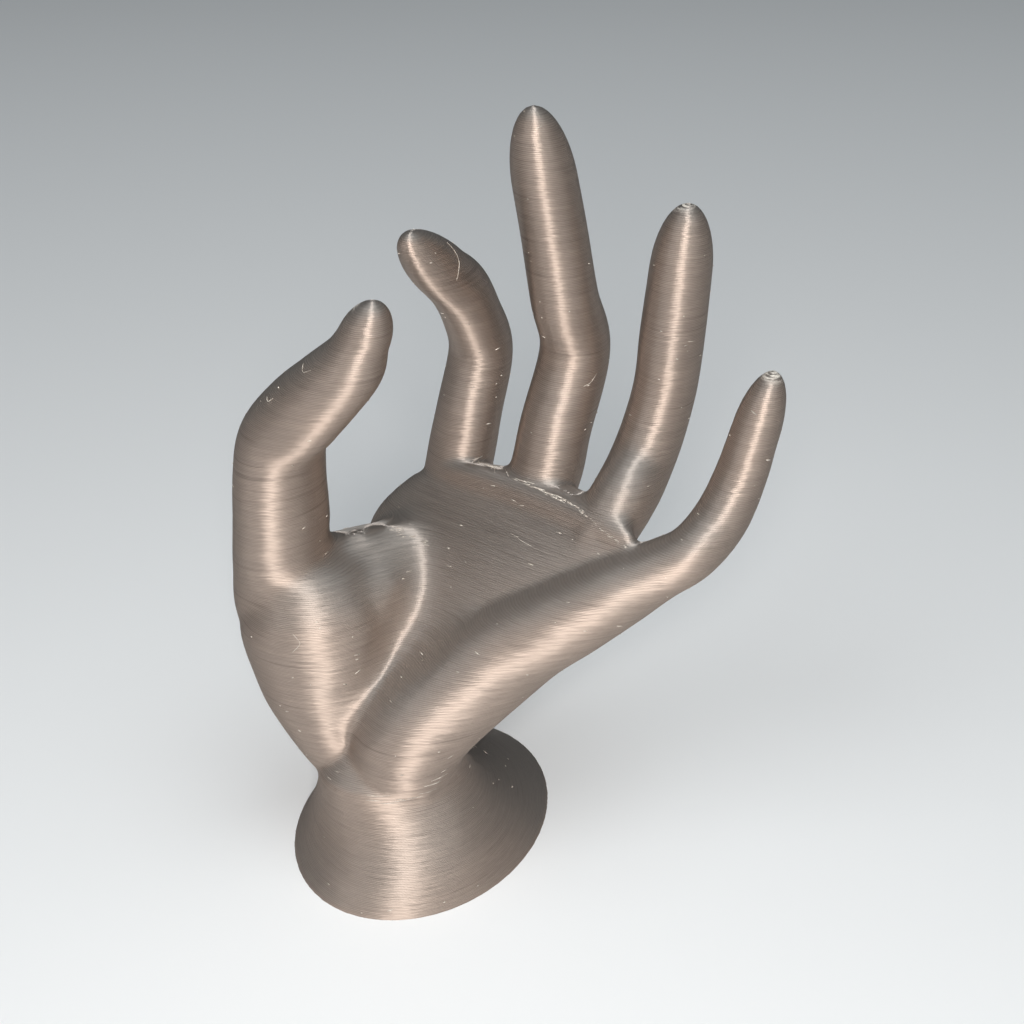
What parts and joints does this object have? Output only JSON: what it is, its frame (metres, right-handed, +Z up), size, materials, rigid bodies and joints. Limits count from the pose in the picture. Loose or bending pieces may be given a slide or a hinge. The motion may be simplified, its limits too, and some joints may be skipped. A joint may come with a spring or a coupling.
{
  "type": "hand jewelry stand",
  "caption": "Open hand with slender fingers, thumb and index nearly meeting, rising from a flared oval foot; holds rings, bracelets and chains on a dressing table",
  "frame": {"origin": "centre of the flat underside of the foot, on the floor", "axes": "+Z up; +X across the palm from the thumb to the little finger; the palm faces -Y"},
  "size_m": [0.0808, 0.0657, 0.1315],
  "materials": {
    "bronze_print": "silk bronze printed plastic with fine horizontal layer lines"
  },
  "bodies": {
    "root": {"hand_stand": "bronze_print"}
  },
  "joints": []
}
